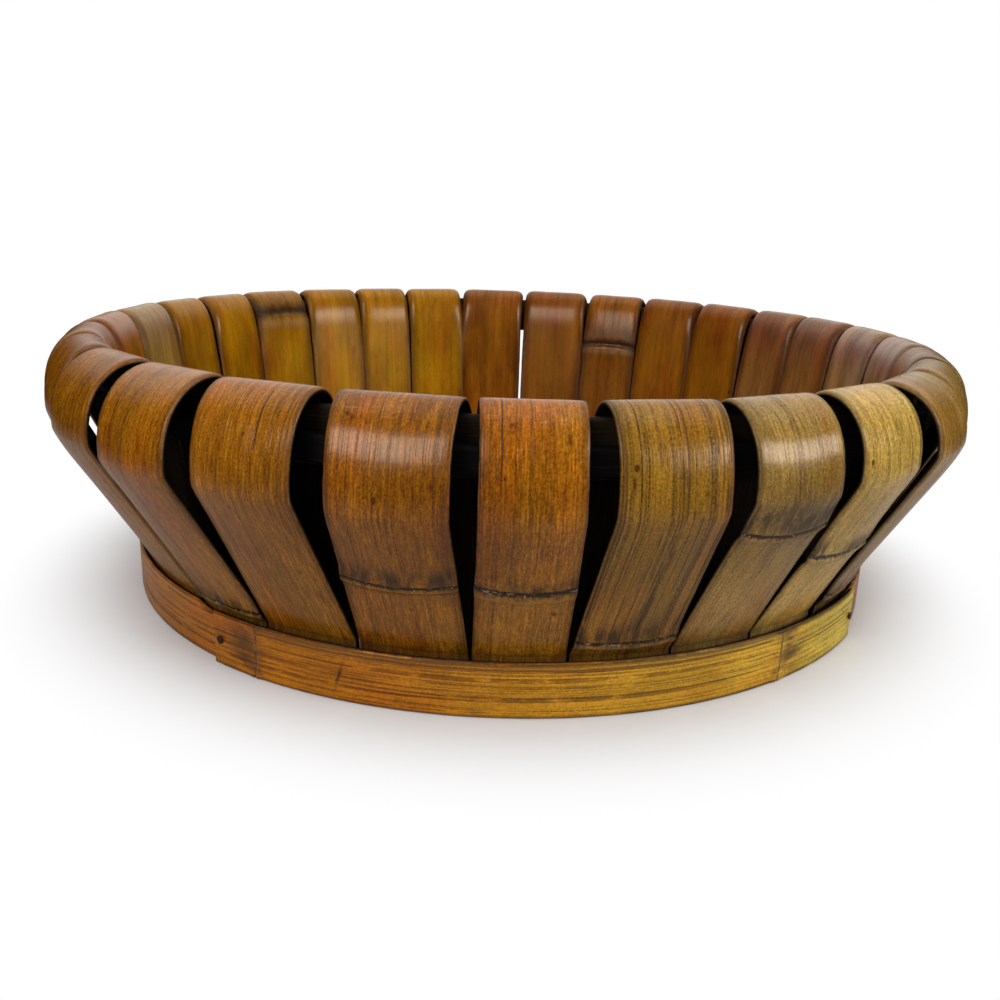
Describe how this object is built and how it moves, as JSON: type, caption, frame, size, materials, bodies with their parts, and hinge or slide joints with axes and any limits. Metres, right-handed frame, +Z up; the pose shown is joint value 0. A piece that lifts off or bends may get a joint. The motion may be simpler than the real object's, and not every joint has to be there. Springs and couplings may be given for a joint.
{
  "type": "bamboo basket tray",
  "caption": "Round open tray of split bamboo slats folded over a rim hoop, with a flat floor and a lapped foot band.",
  "frame": {"origin": "under the middle of the foot, on the surface that the tray stands on", "axes": "+Z up out of the open side, -Y towards the front, where the front foot band laps over the back one"},
  "size_m": [0.3098, 0.3098, 0.086],
  "materials": {
    "bamboo_skin": "lacquered bamboo skin, semi-gloss",
    "band_bamboo": "lacquered bamboo band, semi-gloss",
    "stained_hoop": "dark stained, matt",
    "board_wood": "dark stained wood, satin",
    "tack_steel": "darkened steel"
  },
  "bodies": {
    "root": {"slat_01": "bamboo_skin", "slat_02": "bamboo_skin", "slat_03": "bamboo_skin", "slat_04": "bamboo_skin", "slat_05": "bamboo_skin", "slat_06": "bamboo_skin", "slat_07": "bamboo_skin", "slat_08": "bamboo_skin", "slat_09": "bamboo_skin", "slat_10": "bamboo_skin", "slat_11": "bamboo_skin", "slat_12": "bamboo_skin", "slat_13": "bamboo_skin", "slat_14": "bamboo_skin", "slat_15": "bamboo_skin", "slat_16": "bamboo_skin", "slat_17": "bamboo_skin", "slat_18": "bamboo_skin", "slat_19": "bamboo_skin", "slat_20": "bamboo_skin", "slat_21": "bamboo_skin", "slat_22": "bamboo_skin", "slat_23": "bamboo_skin", "slat_24": "bamboo_skin", "slat_25": "bamboo_skin", "slat_26": "bamboo_skin", "slat_27": "bamboo_skin", "slat_28": "bamboo_skin", "slat_29": "bamboo_skin", "slat_30": "bamboo_skin", "rim_hoop_inner": "stained_hoop", "rim_hoop_outer": "stained_hoop", "foot_band_front": "band_bamboo", "foot_band_back": "band_bamboo", "base_board": "board_wood", "lap_tack_left": "tack_steel", "lap_tack_right": "tack_steel"}
  },
  "joints": []
}
